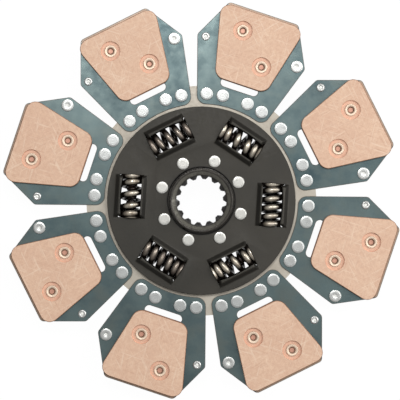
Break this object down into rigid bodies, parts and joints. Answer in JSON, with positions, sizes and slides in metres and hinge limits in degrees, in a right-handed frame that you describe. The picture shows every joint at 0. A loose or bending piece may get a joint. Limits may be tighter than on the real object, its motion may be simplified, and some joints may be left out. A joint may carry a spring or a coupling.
{
  "type": "clutch disc",
  "caption": "Clutch disc with a splined hub, spring-damped centre behind two cover plates, and flat paddles with metal friction pads on both sides.",
  "frame": {"origin": "on the axis of the spline, halfway through the carrier disc", "axes": "+Z along the axis towards the shorter end of the hub, +X across the disc to the picture's right, +Y to its top"},
  "size_m": [0.3468, 0.3468, 0.038],
  "materials": {
    "sintered_bronze": "matt sintered",
    "blued_steel": "blue-grey tempered, cloudy",
    "plain_steel": "satin",
    "black_steel": "dark phosphate, satin",
    "hub_steel": "oiled forging",
    "spring_steel": "satin wire",
    "rivet_steel": "bright, turned",
    "friction_lining": "matt"
  },
  "bodies": {
    "hub_assembly": {"splined_hub": "hub_steel", "front_cover_plate": "black_steel", "rear_cover_plate": "black_steel", "front_friction_ring": "friction_lining", "rear_friction_ring": "friction_lining", "hub_rivets": "rivet_steel", "damper_spring_1": "spring_steel", "damper_spring_2": "spring_steel", "damper_spring_3": "spring_steel", "damper_spring_4": "spring_steel", "damper_spring_5": "spring_steel", "damper_spring_6": "spring_steel", "inner_spring_2": "spring_steel", "inner_spring_4": "spring_steel", "inner_spring_6": "spring_steel"},
    "friction_disc": {"carrier_disc": "plain_steel", "front_segment_1": "blued_steel", "front_segment_2": "blued_steel", "front_segment_3": "blued_steel", "front_segment_4": "blued_steel", "front_segment_5": "blued_steel", "front_segment_6": "blued_steel", "front_segment_7": "blued_steel", "front_segment_8": "blued_steel", "front_pad_1": "sintered_bronze", "front_pad_2": "sintered_bronze", "front_pad_3": "sintered_bronze", "front_pad_4": "sintered_bronze", "front_pad_5": "sintered_bronze", "front_pad_6": "sintered_bronze", "front_pad_7": "sintered_bronze", "front_pad_8": "sintered_bronze", "rear_segment_1": "blued_steel", "rear_segment_2": "blued_steel", "rear_segment_3": "blued_steel", "rear_segment_4": "blued_steel", "rear_segment_5": "blued_steel", "rear_segment_6": "blued_steel", "rear_segment_7": "blued_steel", "rear_segment_8": "blued_steel", "rear_pad_1": "sintered_bronze", "rear_pad_2": "sintered_bronze", "rear_pad_3": "sintered_bronze", "rear_pad_4": "sintered_bronze", "rear_pad_5": "sintered_bronze", "rear_pad_6": "sintered_bronze", "rear_pad_7": "sintered_bronze", "rear_pad_8": "sintered_bronze", "carrier_rivets": "rivet_steel", "corner_rivets": "rivet_steel"}
  },
  "joints": [
    {"name": "damper_turn", "type": "hinge", "parent": "hub_assembly", "child": "friction_disc", "pos_m": [0, 0, 0], "axis": [0, 0, 1], "range_deg": [-7, 7], "stiffness_Nm_per_rad": 2000, "deforming": ["damper_spring_1", "damper_spring_2", "damper_spring_3", "damper_spring_4", "damper_spring_5", "damper_spring_6", "inner_spring_2", "inner_spring_4", "inner_spring_6"]}
  ]
}
